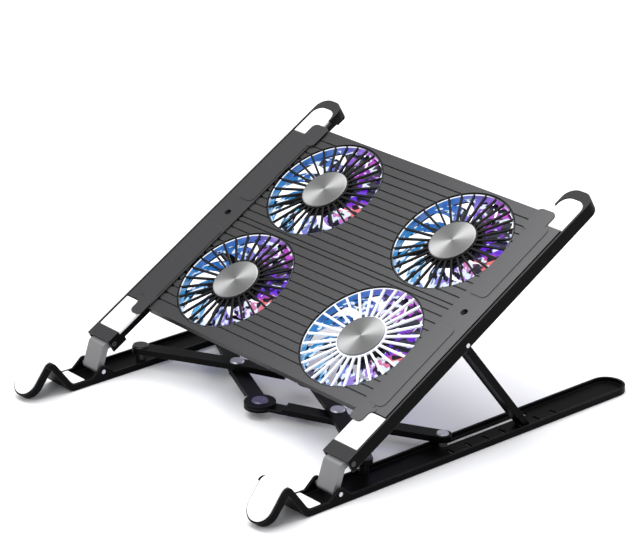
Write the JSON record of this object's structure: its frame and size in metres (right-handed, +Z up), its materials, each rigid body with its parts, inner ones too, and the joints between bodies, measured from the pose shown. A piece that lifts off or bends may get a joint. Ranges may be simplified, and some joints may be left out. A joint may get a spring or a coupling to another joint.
{
  "type": "laptop cooling pad",
  "caption": "Folding laptop stand with a tilted, grooved fan deck clipped over its arms, lit fan grilles, props and a scissor linkage between the base rails.",
  "frame": {"origin": "centre of the footprint on the surface that the stand rests on", "axes": "+Z up, +Y towards the raised rear of the deck, +X to the right as seen from the front hooks"},
  "size_m": [0.2618, 0.3123, 0.1457],
  "materials": {
    "rail_metal": "satin black anodised aluminium",
    "arm_metal": "satin black anodised aluminium",
    "bar_metal": "satin black with lighter edges",
    "link_metal": "satin grey cast alloy",
    "strut_metal": "satin black",
    "bright_steel": "bright turned steel",
    "cap_metal": "radially brushed",
    "silicone": "white silicone, matte",
    "foot_rubber": "black rubber",
    "deck_metal": "charcoal satin coat",
    "guard_plastic": "black moulded plastic",
    "rotor_plastic": "translucent, lit by the light rings",
    "led_diffuser": "translucent light ring",
    "board_green": "printed circuit board"
  },
  "bodies": {
    "left_rail": {"left_base_rail": "rail_metal", "left_rail_feet": "foot_rubber", "left_hook_pad": "silicone", "left_valley_pad": "silicone", "left_link_pin": "bright_steel", "left_pivot_post": "bright_steel"},
    "left_link": {"left_front_link": "link_metal", "left_arm_pin": "bright_steel"},
    "left_arm": {"left_arm": "arm_metal", "left_arm_front_pad": "silicone", "left_arm_rear_pad": "silicone", "left_strut_pin": "bright_steel"},
    "left_strut": {"left_strut": "strut_metal"},
    "rail_bar_left": {"left_rail_bar": "bar_metal", "left_cross_rivet": "bright_steel", "rear_middle_rivet": "bright_steel"},
    "cross_bar_left": {"left_cross_bar": "bar_metal", "left_slide_post": "bright_steel", "front_middle_rivet": "bright_steel"},
    "rail_bar_right": {"right_rail_bar": "bar_metal", "right_cross_rivet": "bright_steel"},
    "cross_bar_right": {"right_cross_bar": "bar_metal", "right_slide_post": "bright_steel"},
    "right_rail": {"right_base_rail": "rail_metal", "right_rail_feet": "foot_rubber", "right_hook_pad": "silicone", "right_valley_pad": "silicone", "right_link_pin": "bright_steel", "right_pivot_post": "bright_steel"},
    "right_link": {"right_front_link": "link_metal", "right_arm_pin": "bright_steel"},
    "right_arm": {"right_arm": "arm_metal", "right_arm_front_pad": "silicone", "right_arm_rear_pad": "silicone", "right_strut_pin": "bright_steel"},
    "right_strut": {"right_strut": "strut_metal"},
    "deck": {"deck_panel": "deck_metal", "grille_front_left": "guard_plastic", "grille_front_right": "guard_plastic", "grille_rear_left": "guard_plastic", "grille_rear_right": "guard_plastic", "fan_frame_front_left": "guard_plastic", "fan_frame_front_right": "guard_plastic", "fan_frame_rear_left": "guard_plastic", "fan_frame_rear_right": "guard_plastic", "hub_caps": "cap_metal", "led_rings": "led_diffuser", "fan_screws": "bright_steel", "control_board": "board_green", "usb_inlet": "bright_steel"},
    "fan_front_left": {"rotor_front_left": "rotor_plastic"},
    "fan_front_right": {"rotor_front_right": "rotor_plastic"},
    "fan_rear_left": {"rotor_rear_left": "rotor_plastic"},
    "fan_rear_right": {"rotor_rear_right": "rotor_plastic"},
    "light_button": {"light_button": "guard_plastic"}
  },
  "joints": [
    {"name": "left_link_swing", "type": "hinge", "parent": "left_rail", "child": "left_link", "pos_m": [-0.11875, -0.09693, 0.0072], "axis": [1, 0, 0], "range_deg": [-7.63, 3.05]},
    {"name": "left_arm_tilt", "type": "hinge", "parent": "left_link", "child": "left_arm", "pos_m": [-0.11875, -0.08674, 0.02387], "axis": [1, 0, 0], "range_deg": [-22.97, 9.19]},
    {"name": "left_strut_swing", "type": "hinge", "parent": "left_arm", "child": "left_strut", "pos_m": [-0.11875, 0.00563, 0.07489], "axis": [1, 0, 0], "range_deg": [-32.73, 81.83]},
    {"name": "right_link_swing", "type": "hinge", "parent": "right_rail", "child": "right_link", "pos_m": [0.11875, -0.09693, 0.0072], "axis": [1, 0, 0], "range_deg": [-7.63, 3.05]},
    {"name": "right_arm_tilt", "type": "hinge", "parent": "right_link", "child": "right_arm", "pos_m": [0.11875, -0.08674, 0.02387], "axis": [1, 0, 0], "range_deg": [-22.97, 9.19]},
    {"name": "right_strut_swing", "type": "hinge", "parent": "right_arm", "child": "right_strut", "pos_m": [0.11875, 0.00563, 0.07489], "axis": [1, 0, 0], "range_deg": [-33.38, 83.46]},
    {"name": "frame_fold", "type": "hinge", "parent": "left_rail", "child": "rail_bar_left", "pos_m": [-0.11213, -0.06243, 0.012], "axis": [0, 0, 1], "range_deg": [0, 45]},
    {"name": "rear_middle_turn", "type": "hinge", "parent": "rail_bar_left", "child": "rail_bar_right", "pos_m": [0, -0.00738, 0.012], "axis": [0, 0, 1], "range_deg": [-91, 1]},
    {"name": "right_rail_turn", "type": "hinge", "parent": "rail_bar_right", "child": "right_rail", "pos_m": [0.11213, -0.06243, 0.012], "axis": [0, 0, 1], "range_deg": [-1, 46]},
    {"name": "left_cross_turn", "type": "hinge", "parent": "rail_bar_left", "child": "cross_bar_left", "pos_m": [-0.05032, -0.02957, 0.01], "axis": [0, 0, 1], "range_deg": [-91, 1]},
    {"name": "right_cross_turn", "type": "hinge", "parent": "rail_bar_right", "child": "cross_bar_right", "pos_m": [0.05032, -0.02957, 0.01], "axis": [0, 0, 1], "range_deg": [-1, 91]},
    {"name": "deck_lift", "type": "slide", "parent": "left_arm", "child": "deck", "axis": [0, -0.5, 0.866], "range_m": [-0.0002, 0.2533]},
    {"name": "fan_spin_front_left", "type": "hinge", "parent": "deck", "child": "fan_front_left", "pos_m": [-0.062, -0.01864, 0.06272], "axis": [0, -0.5, 0.866], "continuous": true},
    {"name": "fan_spin_front_right", "type": "hinge", "parent": "deck", "child": "fan_front_right", "pos_m": [0.062, -0.01864, 0.06272], "axis": [0, -0.5, 0.866], "continuous": true},
    {"name": "fan_spin_rear_left", "type": "hinge", "parent": "deck", "child": "fan_rear_left", "pos_m": [-0.062, 0.05844, 0.10722], "axis": [0, -0.5, 0.866], "continuous": true},
    {"name": "fan_spin_rear_right", "type": "hinge", "parent": "deck", "child": "fan_rear_right", "pos_m": [0.062, 0.05844, 0.10722], "axis": [0, -0.5, 0.866], "continuous": true},
    {"name": "light_button_press", "type": "slide", "parent": "deck", "child": "light_button", "axis": [0, -0.866, -0.5], "range_m": [0, 0.0005], "stiffness_N_per_m": 400}
  ],
  "couplings": [
    {"joint": "left_link_swing", "follows": "left_strut_swing", "ratio": -0.091439},
    {"joint": "left_arm_tilt", "follows": "left_strut_swing", "ratio": -0.2752},
    {"joint": "right_link_swing", "follows": "left_strut_swing", "ratio": -0.091439},
    {"joint": "right_arm_tilt", "follows": "left_strut_swing", "ratio": -0.2752},
    {"joint": "right_strut_swing", "follows": "left_strut_swing", "ratio": 1},
    {"joint": "rear_middle_turn", "follows": "frame_fold", "ratio": -2},
    {"joint": "right_rail_turn", "follows": "frame_fold", "ratio": 1},
    {"joint": "left_cross_turn", "follows": "frame_fold", "ratio": -2},
    {"joint": "right_cross_turn", "follows": "frame_fold", "ratio": 2},
    {"joint": "deck_lift", "follows": "frame_fold", "m_per_rad": 0.32}
  ]
}
